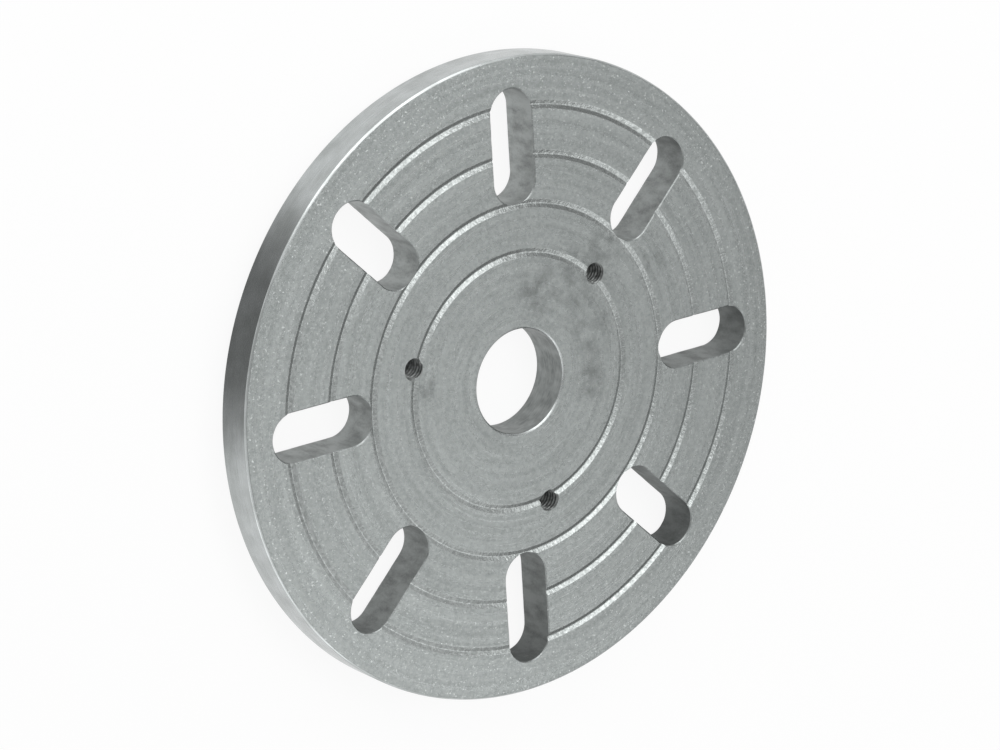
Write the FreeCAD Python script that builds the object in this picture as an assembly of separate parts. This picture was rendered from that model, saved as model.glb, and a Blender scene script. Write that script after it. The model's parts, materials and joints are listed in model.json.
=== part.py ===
import FreeCAD, Part
import math
import os

# A lathe faceplate: one flat round plate that bolts to the spindle and carries the work.
# The origin is at the centre of the back face. +Z is the spindle axis, towards the work,
# and +X runs through the middle of a slot. Lengths are in millimetres, angles in degrees.

plate_diameter = 160.0
plate_thickness = 10.8
front_rim_chamfer = 0.5
back_rim_chamfer = 1.35

# The bore that the spindle's centre passes through.
bore_diameter = 26.2
bore_edge_break = 0.45

# Shallow rings turned in the front face, for setting work central by eye.
groove_first_radius = 31.85
groove_pitch = 12.0
groove_width = 2.25
groove_depth = 0.5
groove_bottom_radius = 0.3
groove_rim_land = 8.0  # least metal between the outermost ring and the rim

# Holes tapped M6 that hold the plate to the spindle flange, as wide as the thread's core.
tapped_count = 3
tapped_circle_diameter = 66.0
tapped_core_diameter = 5.0
tapped_edge_break = 0.15
tapped_turn = 43.4  # from +X to the first hole

# Through slots for clamping bolts. Their centre lines all pass the axis on the same side.
slot_count = 8
slot_width = 12.3
slot_inner_land = 8.35  # metal between the circle of tapped holes and the slots
slot_rim_land = 7.65  # metal between the slots and the rim
slot_side_offset = 1.78
slot_front_break = 0.25
slot_back_break = 0.8

# How far each cutter runs past the faces that it opens.
cutter_overrun = 2.0

plate_radius = plate_diameter / 2
bore_radius = bore_diameter / 2
tapped_circle_radius = tapped_circle_diameter / 2
tapped_radius = tapped_core_diameter / 2
slot_half_width = slot_width / 2
slot_inner_reach = tapped_circle_radius + tapped_radius + slot_inner_land
slot_outer_reach = plate_radius - slot_rim_land
z_axis = FreeCAD.Vector(0, 0, 1)


def vector_of(point):
    return FreeCAD.Vector(point[0], 0, point[1])


def line_between(start, end):
    return Part.LineSegment(vector_of(start), vector_of(end)).toShape()


# The radius of each ring that fits between the first one and the rim.
def groove_radii():
    outermost = plate_radius - groove_rim_land - groove_width / 2
    count = int((outermost - groove_first_radius) // groove_pitch) + 1
    return [groove_first_radius + groove_pitch * index for index in range(count)]


# A ring's section: two straight walls that meet the round bottom at a tangent,
# drawn from the outer lip to the inner lip.
def groove_edges(radius):
    half = groove_width / 2
    centre_height = groove_bottom_radius - groove_depth
    reach = math.hypot(half, centre_height)
    tilt = math.asin(groove_bottom_radius / reach) - math.atan2(centre_height, half)
    side = groove_bottom_radius * math.sin(tilt)
    low = plate_thickness + centre_height - groove_bottom_radius * math.cos(tilt)
    bottom = vector_of((radius, plate_thickness - groove_depth))
    arc = Part.Arc(vector_of((radius + side, low)), bottom, vector_of((radius - side, low)))
    outer_wall = line_between((radius + half, plate_thickness), (radius + side, low))
    inner_wall = line_between((radius - side, low), (radius - half, plate_thickness))
    return [outer_wall, arc.toShape(), inner_wall]


# The plate as it leaves the lathe, before its bore, holes and slots: half its section, spun.
def turned_plate():
    corners = [(0, plate_thickness), (0, 0)]
    corners += [(plate_radius - back_rim_chamfer, 0)]
    corners += [(plate_radius, back_rim_chamfer)]
    corners += [(plate_radius, plate_thickness - front_rim_chamfer)]
    corners += [(plate_radius - front_rim_chamfer, plate_thickness)]
    edges = [line_between(start, end) for start, end in zip(corners, corners[1:])]
    reached = corners[-1]
    for radius in reversed(groove_radii()):
        edges.append(line_between(reached, (radius + groove_width / 2, plate_thickness)))
        edges += groove_edges(radius)
        reached = (radius - groove_width / 2, plate_thickness)
    edges.append(line_between(reached, corners[0]))
    section = Part.Face(Part.Wire(edges))
    return section.revolve(FreeCAD.Vector(0, 0, 0), z_axis, 360)


# The outer line of a cutter that opens both faces and breaks their edges at 45 degrees.
def cutter_side(half_width, front_break, back_break):
    top = plate_thickness + cutter_overrun
    return [
        (half_width + back_break + cutter_overrun, -cutter_overrun),
        (half_width, back_break),
        (half_width, plate_thickness - front_break),
        (half_width + front_break + cutter_overrun, top),
    ]


def round_cutter(radius, front_break, back_break):
    side = cutter_side(radius, front_break, back_break)
    corners = [(0, side[0][1])] + side + [(0, side[-1][1])]
    points = [vector_of(corner) for corner in corners]
    section = Part.Face(Part.makePolygon(points + points[:1]))
    return section.revolve(FreeCAD.Vector(0, 0, 0), z_axis, 360)


# A slot is two round ends joined by straight flanks. It is drawn along X, beside the axis,
# and then turned about the axis until its middle is on X.
def slot_cutter():
    inner_centre = slot_inner_reach + slot_half_width
    outer_centre = slot_outer_reach - slot_half_width
    end = round_cutter(slot_half_width, slot_front_break, slot_back_break)
    inner_end = end.translated(FreeCAD.Vector(inner_centre, -slot_side_offset, 0))
    outer_end = end.translated(FreeCAD.Vector(outer_centre, -slot_side_offset, 0))
    side = cutter_side(slot_half_width, slot_front_break, slot_back_break)
    mirrored = [(-across, height) for across, height in reversed(side)]
    points = [
        FreeCAD.Vector(inner_centre, across - slot_side_offset, height)
        for across, height in side + mirrored
    ]
    section = Part.Face(Part.makePolygon(points + points[:1]))
    flanks = section.extrude(FreeCAD.Vector(outer_centre - inner_centre, 0, 0))
    cutter = flanks.fuse([inner_end, outer_end]).removeSplitter()
    middle = (inner_centre + outer_centre) / 2
    cutter.rotate(FreeCAD.Vector(0, 0, 0), z_axis, math.degrees(math.atan2(slot_side_offset, middle)))
    return cutter


# Copies of a cutter, evenly spaced round the axis.
def around_axis(cutter, count, first_turn):
    copies = []
    for index in range(count):
        copy = cutter.copy()
        copy.rotate(FreeCAD.Vector(0, 0, 0), z_axis, first_turn + 360.0 * index / count)
        copies.append(copy)
    return copies


def faceplate():
    tapped_hole = round_cutter(tapped_radius, tapped_edge_break, tapped_edge_break)
    tapped_hole.translate(FreeCAD.Vector(tapped_circle_radius, 0, 0))
    cutters = [round_cutter(bore_radius, bore_edge_break, bore_edge_break)]
    cutters += around_axis(tapped_hole, tapped_count, tapped_turn)
    cutters += around_axis(slot_cutter(), slot_count, 0)
    return turned_plate().cut(cutters)


def save(shape, node):
    solid = shape.Solids[0]
    solid.exportStep(os.path.join("parts", node + ".step"))
    print(node, "volume", round(solid.Volume), "mm3, valid", solid.isValid(), "solids", len(shape.Solids))


os.makedirs("parts", exist_ok=True)
save(faceplate(), "faceplate")
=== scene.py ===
import json
import math

import bmesh
import bpy
from mathutils import Matrix, Quaternion, Vector, noise


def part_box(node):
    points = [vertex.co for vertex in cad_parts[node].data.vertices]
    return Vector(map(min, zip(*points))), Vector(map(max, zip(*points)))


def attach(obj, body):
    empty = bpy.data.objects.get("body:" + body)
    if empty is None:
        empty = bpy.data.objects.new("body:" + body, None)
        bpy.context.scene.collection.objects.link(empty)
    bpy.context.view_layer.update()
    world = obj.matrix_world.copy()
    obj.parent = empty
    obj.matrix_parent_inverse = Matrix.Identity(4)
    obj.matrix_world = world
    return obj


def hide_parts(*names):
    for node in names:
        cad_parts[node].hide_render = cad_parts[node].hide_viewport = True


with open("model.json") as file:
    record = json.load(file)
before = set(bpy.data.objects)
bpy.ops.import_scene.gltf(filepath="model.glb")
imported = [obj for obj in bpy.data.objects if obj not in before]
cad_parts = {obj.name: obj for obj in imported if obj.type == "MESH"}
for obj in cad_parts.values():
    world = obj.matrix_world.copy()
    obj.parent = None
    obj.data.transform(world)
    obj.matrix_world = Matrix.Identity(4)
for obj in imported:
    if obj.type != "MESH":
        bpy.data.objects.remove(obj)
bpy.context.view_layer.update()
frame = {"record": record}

# A lathe faceplate of grey iron, turned all over, with a bore, eight milled slots,
# three M6 holes and four setting rings. It lies on its back on a white table.

mm = 0.001  # the dictionaries are in millimetres and degrees, and the scene is in metres
zAxis = Vector((0, 0, 1))

mounts = {mount["name"]: mount["dims"] for mount in frame["record"]["mounts"]}
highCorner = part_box("faceplate")[1]
plateRadius = highCorner.x / mm
plateThickness = highCorner.z / mm
boreRadius = mounts["spindle_bore"]["r_mm"]
holeRadius = mounts["spindle_flange_screws"]["hole_r_mm"]
holeCircle = mounts["spindle_flange_screws"]["pcd_mm"] / 2
holeCount = mounts["spindle_flange_screws"]["count"]
slotRadius = mounts["clamp_slots_x"]["hole_r_mm"]
slotLength = mounts["clamp_slots_x"]["slot_length_mm"]
slotMiddle = mounts["clamp_slots_x"]["spacing_x_mm"] / 2


# A direction from the plate, counted round from +X and up from the table.
def toward(azimuth, elevation):
    a, e = math.radians(azimuth), math.radians(elevation)
    return Vector((math.cos(a) * math.cos(e), math.sin(a) * math.cos(e), math.sin(e)))


def fromHex(code):
    parts = [int(code[i:i + 2], 16) / 255 for i in (0, 2, 4)]
    linear = [p / 12.92 if p <= 0.04045 else ((p + 0.055) / 1.055) ** 2.4 for p in parts]
    return (*linear, 1.0)


def addNode(tree, kind, settings=None, values=None, links=None):
    node = tree.nodes.new(kind)
    for name, value in (settings or {}).items():
        setattr(node, name, value)
    for socket, value in (values or {}).items():
        node.inputs[socket].default_value = value
    for socket, source in (links or {}).items():
        tree.links.new(source, node.inputs[socket])
    return node


# What every cut surface starts from: bare metal, and where a point is on the plate in
# millimetres: as x, y and z, as its distance from the axis, and as its direction from the axis.
def startIron(name):
    material = bpy.data.materials.new(name)
    material.use_nodes = True
    tree = material.node_tree
    shader = tree.nodes["Principled BSDF"]
    shader.inputs["Metallic"].default_value = 1.0
    place = addNode(tree, "ShaderNodeTexCoord").outputs["Object"]
    place = addNode(tree, "ShaderNodeMapping", values={"Scale": (1 / mm,) * 3}, links={"Vector": place})
    place = place.outputs["Vector"]
    across = addNode(tree, "ShaderNodeVectorMath", {"operation": "MULTIPLY"}, {1: (1, 1, 0)}, {0: place})
    across = across.outputs["Vector"]
    radius = addNode(tree, "ShaderNodeVectorMath", {"operation": "LENGTH"}, links={0: across})
    toRim = addNode(tree, "ShaderNodeVectorMath", {"operation": "NORMALIZE"}, links={0: across})
    toRim = addNode(tree, "ShaderNodeSeparateXYZ", links={0: toRim.outputs["Vector"]})
    height = addNode(tree, "ShaderNodeSeparateXYZ", links={0: place}).outputs["Z"]
    look = {"material": material, "tree": tree, "shader": shader, "place": place, "height": height}
    look["radius"] = radius.outputs["Value"]
    look["toRim"] = (toRim.outputs["X"], toRim.outputs["Y"])
    return look


def maths(look, operation, first, second):
    values, links = {}, {}
    for socket, entry in enumerate((first, second)):
        if isinstance(entry, (int, float)):
            values[socket] = entry
        else:
            links[socket] = entry
    node = addNode(look["tree"], "ShaderNodeMath", {"operation": operation}, values, links)
    return node.outputs["Value"]


# One pattern with a share of a second one added to it.
def addShare(look, pattern, second, share):
    return maths(look, "ADD", pattern, maths(look, "MULTIPLY", second, share))


# A cloudy pattern from 0 to 1, read at a place that is already scaled to its clouds.
def cloudsAt(look, place, detail, crisp):
    cloud = addNode(look["tree"], "ShaderNodeTexNoise",
                    values={"Scale": 1.0, "Detail": detail, "Roughness": crisp}, links={"Vector": place})
    return cloud.outputs["Fac"]


# Clouds that are about size across, or of another size along each axis.
def clouds(look, size, detail=2.0, crisp=0.5, shift=0.0):
    sizes = size if isinstance(size, tuple) else (size,) * 3
    scale = tuple(1 / s for s in sizes)
    place = addNode(look["tree"], "ShaderNodeMapping", values={"Scale": scale, "Location": (shift,) * 3},
                    links={"Vector": look["place"]})
    return cloudsAt(look, place.outputs["Vector"], detail, crisp)


# Tool marks that run round the axis: they change over size across the marks, and over
# arc along them at the rim. The coordinate across the marks is a radius or a height.
def ringMarks(look, across, size, arc, detail=2.0, crisp=0.5):
    turns = plateRadius / arc
    x = maths(look, "DIVIDE", across, size)
    y = maths(look, "MULTIPLY", look["toRim"][0], turns)
    z = maths(look, "MULTIPLY", look["toRim"][1], turns)
    place = addNode(look["tree"], "ShaderNodeCombineXYZ", links={0: x, 1: y, 2: z})
    return cloudsAt(look, place.outputs["Vector"], detail, crisp)


# Stretches the part of a pattern between two levels to two other levels.
def stretch(look, pattern, levels, newLevels=(0.0, 1.0), smooth=False):
    kind = "SMOOTHSTEP" if smooth else "LINEAR"
    node = addNode(look["tree"], "ShaderNodeMapRange", {"interpolation_type": kind},
                   {1: levels[0], 2: levels[1], 3: newLevels[0], 4: newLevels[1]}, {0: pattern})
    return node.outputs["Result"]


def blendColour(look, share, first, second):
    node = addNode(look["tree"], "ShaderNodeMix", {"data_type": "RGBA"})
    for socket, entry in ((0, share), (6, first), (7, second)):
        if isinstance(entry, str):
            node.inputs[socket].default_value = fromHex(entry)
        else:
            look["tree"].links.new(entry, node.inputs[socket])
    return node.outputs[2]


def raised(look, height, depth, under=None):
    links = {"Height": height}
    if under is not None:
        links["Normal"] = under
    node = addNode(look["tree"], "ShaderNodeBump",
                   values={"Strength": 1.0, "Distance": depth * mm}, links=links)
    return node.outputs["Normal"]


def finishIron(look, colour, roughness, normal):
    for socket, source in (("Base Color", colour), ("Roughness", roughness), ("Normal", normal)):
        look["tree"].links.new(source, look["shader"].inputs[socket])
    return look["material"]


# Each finish has its sizes in millimetres, its colours as hex, and the levels of a pattern
# between which it passes from its first colour or roughness to its second.
faced = {
    "colours": ("979b9a", "7f8382"), "colourLevels": (0.55, 0.95), "roughness": (0.24, 0.36),
    "feed": 0.5, "feedArc": 60, "feedDepth": 0.014, "band": 1.6, "bandArc": 90, "bandShare": 0.5,
    "grain": 0.45, "grainDepth": 0.06, "mottle": 0.8, "toneLevels": (0.7, 1.3),
    "speck": 0.55, "speckColour": "c4c8c7", "speckLevels": (0.66, 0.74),
    "wornRadii": (40, 78), "wornShares": (0.15, 0.9),
    "stainColour": "4a4d4c", "stainShare": 0.55, "stainCloud": 5, "stainLevels": (0.42, 0.66),
    "smudges": [  # azimuth, radius and reach of each dark handling stain
        (52, 27, 15), (47, 39, 8), (74, 22, 9), (20, 24, 9), (28, 47, 6), (172, 29, 5), (350, 22, 8),
    ],
}


# 1 near a place on the face, and 0 from reach away.
def smudge(look, azimuth, radius, reach):
    middle = toward(azimuth, 0) * radius
    away = addNode(look["tree"], "ShaderNodeVectorMath", {"operation": "DISTANCE"},
                   {1: (middle.x, middle.y, plateThickness)}, {0: look["place"]})
    return stretch(look, away.outputs["Value"], (reach, 0.2 * reach), smooth=True)


def stains(look):
    total = 0.0
    for azimuth, radius, reach in faced["smudges"]:
        total = maths(look, "MAXIMUM", total, smudge(look, azimuth, radius, reach))
    patches = stretch(look, clouds(look, faced["stainCloud"], 5, 0.65), faced["stainLevels"])
    return maths(look, "MULTIPLY", total, patches)


# Bright specks in the grain, more of them towards the rim.
def brightSpecks(look):
    specks = stretch(look, clouds(look, faced["speck"], 1, shift=40), faced["speckLevels"])
    worn = stretch(look, look["radius"], faced["wornRadii"], faced["wornShares"])
    return maths(look, "MULTIPLY", specks, worn)


# Grey iron faced on the lathe: a satin grey with fine rings about the axis, a grain of graphite
# and handling stains. The real feed of about 0.1 mm is too fine to show, so the rings are drawn
# at half a millimetre.
def facedIron():
    look = startIron("facedIron")
    rings = ringMarks(look, look["radius"], faced["feed"], faced["feedArc"])
    bands = ringMarks(look, look["radius"], faced["band"], faced["bandArc"])
    grain = clouds(look, faced["grain"], 3, 0.7)
    mottle = addShare(look, clouds(look, faced["mottle"], 3, 0.7), bands, faced["bandShare"])
    colour = blendColour(look, stretch(look, mottle, faced["colourLevels"]), *faced["colours"])
    colour = blendColour(look, brightSpecks(look), colour, faced["speckColour"])
    stained = maths(look, "MULTIPLY", stains(look), faced["stainShare"])
    colour = blendColour(look, stained, colour, faced["stainColour"])
    tone = maths(look, "ADD", rings, grain)
    roughness = stretch(look, tone, faced["toneLevels"], faced["roughness"])
    normal = raised(look, rings, faced["feedDepth"])
    normal = raised(look, grain, faced["grainDepth"], normal)
    return finishIron(look, colour, roughness, normal)


turned = {
    "colours": ("bdc1c1", "a6aaa9"), "colourLevels": (0.6, 1.0), "roughness": (0.22, 0.34),
    "feed": 0.35, "feedArc": 7, "feedDepth": 0.012, "feedShare": 0.6, "feedLevels": (0.35, 0.65),
    "mottle": 6, "grain": 0.45, "grainDepth": 0.01,
}


# Grey iron turned with a finer cut: the rim and the edge breaks are a lighter, brighter grey.
def turnedIron():
    look = startIron("turnedIron")
    rings = ringMarks(look, look["height"], turned["feed"], turned["feedArc"], 3, 0.6)
    grain = clouds(look, turned["grain"])
    mottle = addShare(look, clouds(look, turned["mottle"], 3), rings, turned["feedShare"])
    colour = blendColour(look, stretch(look, mottle, turned["colourLevels"]), *turned["colours"])
    roughness = stretch(look, rings, turned["feedLevels"], turned["roughness"])
    normal = raised(look, rings, turned["feedDepth"])
    normal = raised(look, grain, turned["grainDepth"], normal)
    return finishIron(look, colour, roughness, normal)


grooved = {
    "colours": ("a8acab", "8a8e8d"), "colourLevels": (0.35, 0.65), "roughness": (0.22, 0.32),
    "streak": 0.8, "streakArc": 1.1, "streakDepth": 0.03, "streakLevels": (0.3, 0.7),
    "grain": 0.5, "grainDepth": 0.05,
}


# Grey iron cut with a round-nosed tool that chattered: the rings glint in short streaks.
def groovedIron():
    look = startIron("groovedIron")
    streaks = ringMarks(look, look["radius"], grooved["streak"], grooved["streakArc"], 3, 0.6)
    grain = clouds(look, grooved["grain"])
    colour = blendColour(look, stretch(look, streaks, grooved["colourLevels"]), *grooved["colours"])
    roughness = stretch(look, streaks, grooved["streakLevels"], grooved["roughness"])
    normal = raised(look, streaks, grooved["streakDepth"])
    normal = raised(look, grain, grooved["grainDepth"], normal)
    return finishIron(look, colour, roughness, normal)


milled = {
    "colours": ("b0b4b3", "868988"), "colourLevels": (0.6, 0.95), "roughness": (0.38, 0.5),
    "patch": (3, 3, 6), "patchLevels": (0.3, 0.7), "grain": 0.45, "grainShare": 0.4, "grainDepth": 0.03,
    "outerShadeColour": "4f5251", "outerShadeRadii": (66, 75), "outerShadeShare": 0.6,
}


# Grey iron milled with an end mill: matt and patchy, with painted shade that darkens the slots' walls
# towards their outer ends.
def milledIron():
    look = startIron("milledIron")
    grain = clouds(look, milled["grain"], 3, 0.7)
    patches = addShare(look, clouds(look, milled["patch"], 3, 0.6), grain, milled["grainShare"])
    colour = blendColour(look, stretch(look, patches, milled["colourLevels"]), *milled["colours"])
    # Painted shade: the walls turn darker towards the slots' outer ends, standing in for the plate's
    # shadow beneath them that they reflect.
    outer = stretch(look, look["radius"], milled["outerShadeRadii"], (0.0, milled["outerShadeShare"]), smooth=True)
    colour = blendColour(look, outer, colour, milled["outerShadeColour"])
    roughness = stretch(look, patches, milled["patchLevels"], milled["roughness"])
    return finishIron(look, colour, roughness, raised(look, grain, milled["grainDepth"]))


bored = {
    "colours": ("b0b4b3", "8e9291"), "colourLevels": (0.55, 0.95), "roughness": (0.3, 0.42),
    "feed": 0.4, "feedArc": 12, "feedDepth": 0.02, "feedShare": 0.5, "feedLevels": (0.35, 0.65),
    "mottle": 3,
}


# Grey iron bored with a single point: fine hoops run round the wall.
def boredIron():
    look = startIron("boredIron")
    rings = ringMarks(look, look["height"], bored["feed"], bored["feedArc"])
    patches = addShare(look, clouds(look, bored["mottle"], 3), rings, bored["feedShare"])
    colour = blendColour(look, stretch(look, patches, bored["colourLevels"]), *bored["colours"])
    roughness = stretch(look, rings, bored["feedLevels"], bored["roughness"])
    return finishIron(look, colour, roughness, raised(look, rings, bored["feedDepth"]))


tapped = {
    "colours": ("8c8f8e", "5a5c5b"), "colourLevels": (0.4, 0.65), "roughness": (0.35, 0.5),
    "patch": 1.2, "patchLevels": (0.3, 0.7), "patchDepth": 0.03,
}


# Grey iron cut with a tap: dull and torn, so the threads look darker than the face.
def tappedIron():
    look = startIron("tappedIron")
    patches = clouds(look, tapped["patch"])
    colour = blendColour(look, stretch(look, patches, tapped["colourLevels"]), *tapped["colours"])
    roughness = stretch(look, patches, tapped["patchLevels"], tapped["roughness"])
    return finishIron(look, colour, roughness, raised(look, patches, tapped["patchDepth"]))


def asObject(name, form, *materials):
    mesh = bpy.data.meshes.new(name)
    form.to_mesh(mesh)
    form.free()
    for material in materials:
        mesh.materials.append(material)
    piece = bpy.data.objects.new(name, mesh)
    bpy.context.collection.objects.link(piece)
    return piece


def turnSection(form, steps):
    bmesh.ops.spin(form, geom=form.verts[:] + form.edges[:], cent=(0, 0, 0), axis=zAxis,
                   angle=math.tau, steps=steps, use_merge=True)
    bmesh.ops.remove_doubles(form, verts=form.verts, dist=0.0001 * mm)
    bmesh.ops.recalc_face_normals(form, faces=form.faces)


plate = {
    "rimChamfer": 0.5, "backChamfer": 1.35, "boreBreak": 0.45, "cornerRound": 0.06,
    "firstRing": 31.85, "ringPitch": 12.0, "rings": 4,
    "ringWidth": 2.12, "ringDepth": 0.5, "ringBottomRound": 0.2, "lipRound": 0.05,
    "chatterArc": 1.3, "chatterDepth": 0.05, "lipArc": 1.625, "lipRagged": 0.05,
    "steps": 900,
}
plateFinishes = {"face": facedIron, "rim": turnedIron, "ring": groovedIron, "bore": boredIron}
finishIndex = {name: index for index, name in enumerate(plateFinishes)}
ringRadii = [plate["firstRing"] + plate["ringPitch"] * index for index in range(plate["rings"])]


# Half the plate's section as points of radius, height and kind, from the bore's back edge round.
def plateOutline():
    top, half = plateThickness, plate["ringWidth"] / 2
    rim, back, bore = plate["rimChamfer"], plate["backChamfer"], plate["boreBreak"]
    outline = [(boreRadius + bore, 0, "corner"), (plateRadius - back, 0, "corner")]
    outline += [(plateRadius, back, "corner"), (plateRadius, top - rim, "corner")]
    outline += [(plateRadius - rim, top, "corner")]
    for radius in reversed(ringRadii):
        outline += [(radius + half, top, "lip"), (radius, top - plate["ringDepth"], "bottom")]
        outline += [(radius - half, top, "lip")]
    outline += [(boreRadius + bore, top, "corner"), (boreRadius, top - bore, "corner")]
    outline += [(boreRadius, bore, "corner")]
    return outline


# The section with its corners and the rings' lips and bottoms rounded, spun into the turned blank.
def turnedBlank():
    form = bmesh.new()
    points = {"corner": [], "lip": [], "bottom": []}
    for radius, height, kind in plateOutline():
        points[kind].append(form.verts.new((radius * mm, 0, height * mm)))
    form.faces.new(form.verts)
    for kind, size, segments in (
        ("corner", "cornerRound", 1),
        ("lip", "lipRound", 2),
        ("bottom", "ringBottomRound", 4),
    ):
        bmesh.ops.bevel(form, geom=points[kind], offset=plate[size] * mm, segments=segments,
                        profile=0.5, affect="VERTICES", material=-1)
    bmesh.ops.delete(form, geom=form.faces[:], context="FACES_ONLY")
    turnSection(form, plate["steps"])
    return form


def nearestRing(radius):
    return min(ringRadii, key=lambda ring: abs(ring - radius))


# The tool chattered in the rings, so their bottoms rise and fall and their lips are ragged.
def chatterRings(form):
    reach = plate["ringWidth"] / 2 + plate["lipRound"]
    for vertex in form.verts:
        radius = vertex.co.xy.length / mm
        ring = nearestRing(radius)
        if abs(radius - ring) > reach or vertex.co.z / mm < plateThickness - 1:
            continue
        flat = vertex.co.xy.to_3d() / mm
        depth = (plateThickness - vertex.co.z / mm) / plate["ringDepth"]
        shake = noise.noise(flat / plate["chatterArc"] + Vector((0, 0, ring)))
        vertex.co.z += plate["chatterDepth"] * mm * shake * depth
        side = 3 * ring + (radius > ring)  # each ring's two lips are ragged in their own way
        ragged = noise.noise(flat / plate["lipArc"] + Vector((0, 0, side)))
        vertex.co.xy += vertex.co.xy.normalized() * plate["lipRagged"] * mm * ragged * (1 - depth)


# The rim's finish is on the chamfers and on the bore's edge breaks too.
def paintBlank(form):
    frontRim = plateRadius - plate["rimChamfer"] + 0.01
    backRim = plateRadius - plate["backChamfer"]
    for face in form.faces:
        middle = face.calc_center_median() / mm
        radius = middle.xy.length
        if radius > frontRim or radius > backRim and middle.z < 1:
            face.material_index = finishIndex["rim"]
        elif radius < boreRadius + 0.03:
            face.material_index = finishIndex["bore"]
        elif radius < boreRadius + plate["boreBreak"]:
            face.material_index = finishIndex["rim"]
        elif middle.z > 1 and abs(radius - nearestRing(radius)) < plate["ringWidth"] / 2:
            face.material_index = finishIndex["ring"]


# A round cutter that opens both faces and breaks their edges at 45 degrees.
def roundCutter(radius, frontBreak, backBreak, steps):
    over = 2.0
    top = plateThickness + over
    side = [(0, -over), (radius + backBreak + over, -over), (radius, backBreak)]
    side += [(radius, plateThickness - frontBreak), (radius + frontBreak + over, top), (0, top)]
    form = bmesh.new()
    corners = [form.verts.new((r * mm, 0, z * mm)) for r, z in side]
    for start, end in zip(corners, corners[1:]):
        form.edges.new((start, end))
    turnSection(form, steps)
    return form


slot = {
    "count": 8, "sideOffset": 1.78, "frontBreak": 0.25, "backBreak": 0.8, "steps": 66, "flankCuts": 22,
    "waver": 0.05, "waverRun": 3.5, "breakWaver": 0.06, "breakRun": 2.2, "seed": 7,
}


# One slot is a round cutter pulled apart into two ends and two flanks.
# Its line passes beside the axis.
def slotCutter():
    form = roundCutter(slotRadius, slot["frontBreak"], slot["backBreak"], slot["steps"])
    run = (slotLength / 2 - slotRadius) * mm
    for vertex in form.verts:
        if abs(vertex.co.x) > 0.01 * mm:
            vertex.co.x += math.copysign(run, vertex.co.x)
    flanks = [edge for edge in form.edges if edge.calc_length() > 1.5 * run]
    bmesh.ops.subdivide_edges(form, edges=flanks, cuts=slot["flankCuts"])
    skew = math.asin(slot["sideOffset"] / slotMiddle)
    bmesh.ops.rotate(form, verts=form.verts, cent=(0, 0, 0), matrix=Matrix.Rotation(skew, 3, "Z"))
    bmesh.ops.translate(form, verts=form.verts, vec=(slotMiddle * mm, 0, 0))
    return form


# The slots' walls have the cutters' first finish, and their edge breaks the second.
def paintSlots(form):
    for face in form.faces:
        face.material_index = 1 if abs(face.normal.z) > 0.5 else 0


# The cutter's sides wander a little, and its break is wider in some places than in others.
def waverSlots(form):
    noise.seed_set(slot["seed"])  # the vector noise starts somewhere else each time without one
    for vertex in form.verts:
        x, y, z = vertex.co / mm
        push = noise.noise_vector(Vector((x, y, 0)) / slot["waverRun"]) * slot["waver"]
        vertex.co.xy += push.xy * mm
        lift = noise.noise(Vector((x, y, z)) / slot["breakRun"]) * slot["breakWaver"]
        if abs(z - plateThickness / 2) < plateThickness / 2 - 0.01:
            vertex.co.z += lift * mm


hole = {
    "turn": 43.4, "edgeBreak": 0.15, "steps": 48,
    "pitch": 1.0, "rootRadius": 3.0, "rootFlat": 0.125, "threadAngle": 60,
    "threadSteps": 36, "leadIn": 1.5, "crestOverlap": 0.15,
}


def holeCutter():
    return roundCutter(holeRadius, hole["edgeBreak"], hole["edgeBreak"], hole["steps"])


# The groove of an M6 thread: its section winds up through the hole and past both faces.
def threadCutter():
    inner, outer, steps = holeRadius - hole["crestOverlap"], hole["rootRadius"], hole["threadSteps"]
    narrow = hole["rootFlat"] / 2
    wide = narrow + (outer - inner) * math.tan(math.radians(hole["threadAngle"] / 2))
    turns = int(plateThickness / hole["pitch"]) + 4
    form = bmesh.new()
    section = [(inner, -wide), (outer, -narrow), (outer, narrow), (inner, wide)]
    corners = [form.verts.new((r * mm, 0, (z - hole["leadIn"]) * mm)) for r, z in section]
    form.faces.new(corners)
    bmesh.ops.spin(form, geom=form.verts[:] + form.edges[:] + form.faces[:], cent=(0, 0, 0), axis=zAxis,
                   dvec=zAxis * hole["pitch"] * mm / steps, angle=math.tau * turns, steps=steps * turns)
    bmesh.ops.recalc_face_normals(form, faces=form.faces)
    return form


# Copies of a form at each turn about the axis, in one form.
def aroundAxis(form, count, firstTurn=0.0, outTo=0.0):
    single = bpy.data.meshes.new("single")
    form.to_mesh(single)
    form.free()
    single.transform(Matrix.Translation((outTo * mm, 0, 0)))
    many = bmesh.new()
    for index in range(count):
        copy = single.copy()
        copy.transform(Matrix.Rotation(math.radians(firstTurn) + math.tau * index / count, 4, "Z"))
        many.from_mesh(copy)
        bpy.data.meshes.remove(copy)
    bpy.data.meshes.remove(single)
    return many


def cutAway(piece, cutter):
    modifier = piece.modifiers.new("cut", "BOOLEAN")
    modifier.operation = "DIFFERENCE"
    modifier.solver = "EXACT"
    modifier.material_mode = "TRANSFER"
    modifier.object = cutter
    bpy.context.view_layer.update()
    evaluated = piece.evaluated_get(bpy.context.evaluated_depsgraph_get())
    whole, piece.data = piece.data, bpy.data.meshes.new_from_object(evaluated)
    piece.modifiers.clear()
    bpy.data.meshes.remove(whole)
    bpy.data.objects.remove(cutter)


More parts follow.
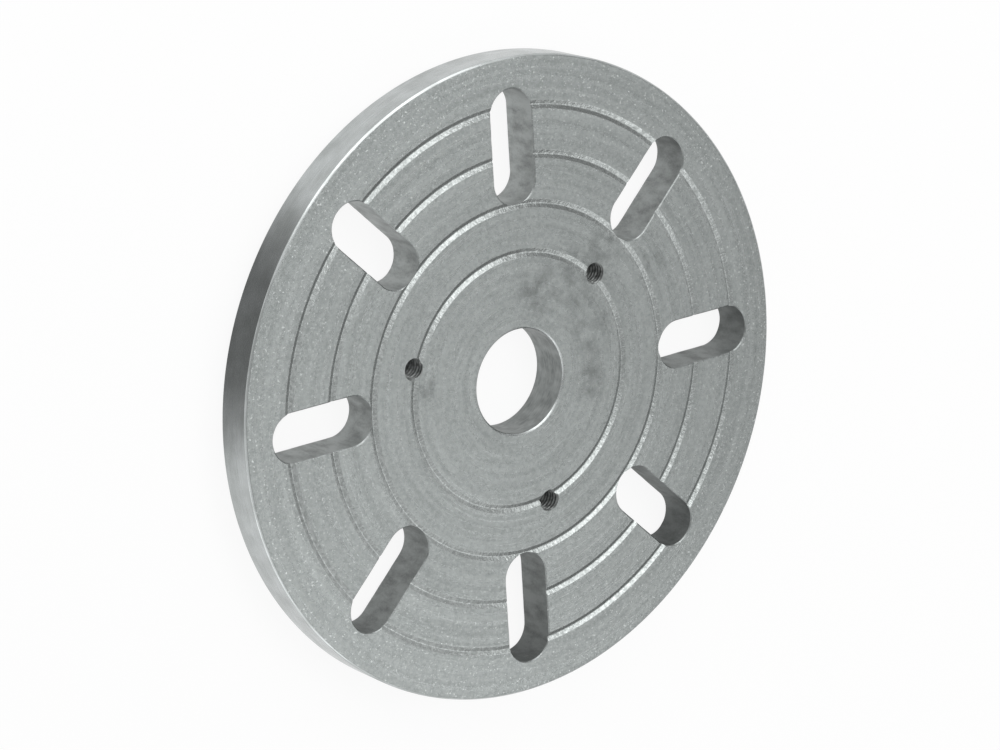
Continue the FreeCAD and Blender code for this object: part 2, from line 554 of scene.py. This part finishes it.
def makePlate():
    form = turnedBlank()
    chatterRings(form)
    paintBlank(form)
    finishes = [finish() for finish in plateFinishes.values()]
    piece = asObject("machinedPlate", form, *finishes)
    print("blank turned:", len(piece.data.polygons), "faces")
    slots = aroundAxis(slotCutter(), slot["count"])
    paintSlots(slots)
    waverSlots(slots)
    cutAway(piece, asObject("slotCutters", slots, milledIron(), finishes[finishIndex["face"]]))
    print("slots milled:", len(piece.data.polygons), "faces")
    thread = tappedIron()
    for name, cutter in (("holeCutters", holeCutter), ("threadCutters", threadCutter)):
        holes = aroundAxis(cutter(), holeCount, hole["turn"], holeCircle)
        cutAway(piece, asObject(name, holes, thread))
    print("holes tapped:", len(piece.data.polygons), "faces")
    piece.data.shade_smooth()
    piece.data.set_sharp_from_angle(angle=math.radians(33))
    weighted = piece.modifiers.new("weighted", "WEIGHTED_NORMAL")
    weighted.keep_sharp = True
    return piece


# 1 for what the camera sees, directly or in metal or glass, and 0 for light that scatters.
def seenRays(tree):
    rays = addNode(tree, "ShaderNodeLightPath").outputs
    seen = addNode(tree, "ShaderNodeMath", {"operation": "MAXIMUM"},
                   links={0: rays["Is Camera Ray"], 1: rays["Is Glossy Ray"]})
    seen = addNode(tree, "ShaderNodeMath", {"operation": "MAXIMUM"},
                   links={0: seen.outputs["Value"], 1: rays["Is Transmission Ray"]})
    return seen.outputs["Value"]


table = {"halfWidth": 6000, "drop": 0.02, "colour": "f4f4f4", "roughness": 0.9, "whiteShare": 0.9}


# A white table top. It looks white to the camera and in reflections, and keeps a tenth
# of the shadows.
def makeTable():
    material = bpy.data.materials.new("whiteTable")
    material.use_nodes = True
    tree = material.node_tree
    shader = tree.nodes["Principled BSDF"]
    shader.inputs["Base Color"].default_value = fromHex(table["colour"])
    shader.inputs["Roughness"].default_value = table["roughness"]
    shader.inputs["Specular IOR Level"].default_value = 0.0
    glow = addNode(tree, "ShaderNodeEmission", values={"Color": (1, 1, 1, 1), "Strength": 1.0})
    share = addNode(tree, "ShaderNodeMath", {"operation": "MULTIPLY"}, {1: table["whiteShare"]},
                    {0: seenRays(tree)})
    mixed = addNode(tree, "ShaderNodeMixShader", links={
        0: share.outputs["Value"], 1: shader.outputs["BSDF"], 2: glow.outputs["Emission"]})
    tree.links.new(mixed.outputs["Shader"], tree.nodes["Material Output"].inputs["Surface"])
    form = bmesh.new()
    bmesh.ops.create_grid(form, x_segments=1, y_segments=1, size=table["halfWidth"] * mm)
    bmesh.ops.translate(form, verts=form.verts, vec=(0, 0, -table["drop"] * mm))
    asObject("table", form, material)


# Soft boxes that face the plate. Level is how much brighter than the white room a box is.
lamps = {
    "keyBox": {"azimuth": 98, "elevation": 20, "width": 1060, "height": 700, "level": 1.6},
    "highBox": {"azimuth": 35, "elevation": 69, "width": 480, "height": 480, "level": 2.0},
    "linkBox": {"azimuth": 80, "elevation": 51, "width": 420, "height": 380, "level": 1.0},
    "fillBox": {"azimuth": 238, "elevation": 9, "width": 1050, "height": 300, "level": 0.9},
    "faceBox": {"azimuth": 309, "elevation": 51, "width": 360, "height": 420, "level": 1.3},
}
studioRadius = 900  # from the plate to the lamps and to the cards


def holdUp(holder, direction):
    away = toward(direction["azimuth"], direction["elevation"])
    holder.location = away * studioRadius * mm
    holder.rotation_mode = "QUATERNION"
    holder.rotation_quaternion = away.to_track_quat("Z", "Y")
    holder.visible_camera = False


def makeLamps():
    for name, lamp in lamps.items():
        light = bpy.data.lights.new(name, "AREA")
        light.shape = "RECTANGLE"
        light.size = lamp["width"] * mm
        light.size_y = lamp["height"] * mm
        light.energy = lamp["level"] * math.pi * light.size * light.size_y
        holder = bpy.data.objects.new(name, light)
        bpy.context.collection.objects.link(holder)
        holdUp(holder, lamp)


# Grey cards that only reflections show. They keep parts of the white room out of the metal.
cards = {
    "sideCard": {"azimuth": 31, "elevation": 28, "width": 560, "height": 560, "grey": 0.35},
    "farCard": {"azimuth": 322, "elevation": 20, "width": 680, "height": 500, "grey": 0.3},
    "lowCard": {"azimuth": 8, "elevation": 5, "width": 420, "height": 150, "grey": 0.25},
    "backCard": {"azimuth": 197, "elevation": 57, "width": 700, "height": 360, "grey": 0.5},
    "cameraCard": {"azimuth": 166, "elevation": 38, "width": 560, "height": 480, "grey": 0.55},
    "zenithCard": {"azimuth": 300, "elevation": 73, "width": 400, "height": 320, "grey": 0.4},
}


def startCard(name):
    material = bpy.data.materials.new(name)
    material.use_nodes = True
    shader = material.node_tree.nodes["Principled BSDF"]
    shader.inputs["Base Color"].default_value = (0, 0, 0, 1)
    shader.inputs["Specular IOR Level"].default_value = 0.0
    shader.inputs["Emission Color"].default_value = (1, 1, 1, 1)
    return material, shader


def onlyReflected(card):
    card.visible_camera = False
    card.visible_shadow = False
    card.visible_diffuse = False


def makeCards():
    for name, card in cards.items():
        material, shader = startCard(name)
        shader.inputs["Emission Strength"].default_value = card["grey"]
        form = bmesh.new()
        bmesh.ops.create_grid(form, x_segments=1, y_segments=1, size=0.5 * mm)
        bmesh.ops.scale(form, verts=form.verts, vec=(card["width"], card["height"], 1))
        holder = asObject(name, form, material)
        holdUp(holder, card)
        onlyReflected(holder)


# What the metal sees of the table close to the plate. A card lies in front of the rim, dark in
# its middle and clear at its sides: a painted shadow on the table that only the rim reflects.
# Another lies under the plate, a painted shadow of the plate, lighter on the key box's side.
near = {
    "rimAzimuth": 160, "rimSpread": 29, "rimShadowGrey": 0.24, "tuck": 2.4, "reach": 114.46, "rimDrop": 0.01,
    "shadeAzimuth": 110, "shadeGrey": (0.3, 0.9), "shadeInset": 3, "shadeDrop": 0.015,
}


def makeRimShadowCard():
    material, shader = startCard("rimShadowCard")
    tree = material.node_tree
    # The card's grey is a painted shadow on the table, which only the rim's reflection shows.
    shader.inputs["Emission Strength"].default_value = near["rimShadowGrey"]
    place = addNode(tree, "ShaderNodeTexCoord").outputs["Object"]
    place = addNode(tree, "ShaderNodeVectorMath", {"operation": "NORMALIZE"}, links={0: place})
    along = addNode(tree, "ShaderNodeVectorMath", {"operation": "DOT_PRODUCT"},
                    {1: toward(near["rimAzimuth"], 0)}, {0: place.outputs["Vector"]})
    edge = math.cos(math.radians(near["rimSpread"]))
    fade = addNode(tree, "ShaderNodeMapRange", {"interpolation_type": "SMOOTHSTEP"},
                   {1: edge, 2: 1.0}, {0: along.outputs["Value"]})
    tree.links.new(fade.outputs["Result"], shader.inputs["Alpha"])
    form = bmesh.new()
    inner, outer = plateRadius - near["tuck"], near["reach"]
    corners = []
    for radius, side in ((inner, -1), (outer, -1), (outer, 1), (inner, 1)):
        away = toward(near["rimAzimuth"] + side * near["rimSpread"], 0) * radius
        corners.append(form.verts.new((away - zAxis * near["rimDrop"]) * mm))
    form.faces.new(corners)
    onlyReflected(asObject("rimShadowCard", form, material))


def makeShadeCard():
    material, shader = startCard("shadeCard")
    tree = material.node_tree
    place = addNode(tree, "ShaderNodeTexCoord").outputs["Object"]
    along = addNode(tree, "ShaderNodeVectorMath", {"operation": "DOT_PRODUCT"},
                    {1: toward(near["shadeAzimuth"], 0)}, {0: place})
    grey = addNode(tree, "ShaderNodeMapRange", values={
        1: -plateRadius * mm, 2: plateRadius * mm, 3: near["shadeGrey"][0], 4: near["shadeGrey"][1]},
        links={0: along.outputs["Value"]})
    tree.links.new(grey.outputs["Result"], shader.inputs["Emission Strength"])
    form = bmesh.new()
    radius = (plateRadius - near["shadeInset"]) * mm
    bmesh.ops.create_circle(form, cap_ends=True, segments=96, radius=radius)
    bmesh.ops.translate(form, verts=form.verts, vec=(0, 0, -near["shadeDrop"] * mm))
    onlyReflected(asObject("shadeCard", form, material))


roomLevel = 0.6  # the room as a source of soft light, where 1 is white


# The room is white to the camera and in reflections, and dimmer as a source of soft light.
def makeWorld():
    world = bpy.data.worlds.new("studio")
    bpy.context.scene.world = world
    world.use_nodes = True
    tree = world.node_tree
    room = tree.nodes["Background"]
    room.inputs["Color"].default_value = (1, 1, 1, 1)
    room.inputs["Strength"].default_value = roomLevel
    white = addNode(tree, "ShaderNodeBackground", values={"Color": (1, 1, 1, 1), "Strength": 1.0})
    mixed = addNode(tree, "ShaderNodeMixShader", links={
        0: seenRays(tree), 1: room.outputs["Background"], 2: white.outputs["Background"]})
    tree.links.new(mixed.outputs["Shader"], tree.nodes["World Output"].inputs["Surface"])


view = {
    "azimuth": 154.406, "elevation": 50.182, "roll": 108.274, "distance": 865.17, "aim": (-6.204, 2.886),
    "lens": 129.0, "sensor": 36, "clipStart": 10,
}


def makeCamera():
    camera = bpy.data.cameras.new("camera")
    camera.lens = view["lens"]
    camera.sensor_width = view["sensor"]
    camera.clip_start = view["clipStart"] * mm
    holder = bpy.data.objects.new("camera", camera)
    away = toward(view["azimuth"], view["elevation"])
    aim = Vector((*view["aim"], plateThickness))
    holder.location = (aim + away * view["distance"]) * mm
    holder.rotation_mode = "QUATERNION"
    roll = Quaternion(zAxis, math.radians(view["roll"]))
    holder.rotation_quaternion = (-away).to_track_quat("-Z", "Y") @ roll
    bpy.context.collection.objects.link(holder)
    bpy.context.scene.camera = holder


bpy.context.scene.view_settings.view_transform = "Standard"
makeCamera()
makeWorld()
makeLamps()
makeTable()
makeCards()
makeRimShadowCard()
makeShadeCard()
print("table, lamps and cards set out")

machinedPlate = makePlate()
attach(machinedPlate, "root")
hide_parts("faceplate")
print("plate made")
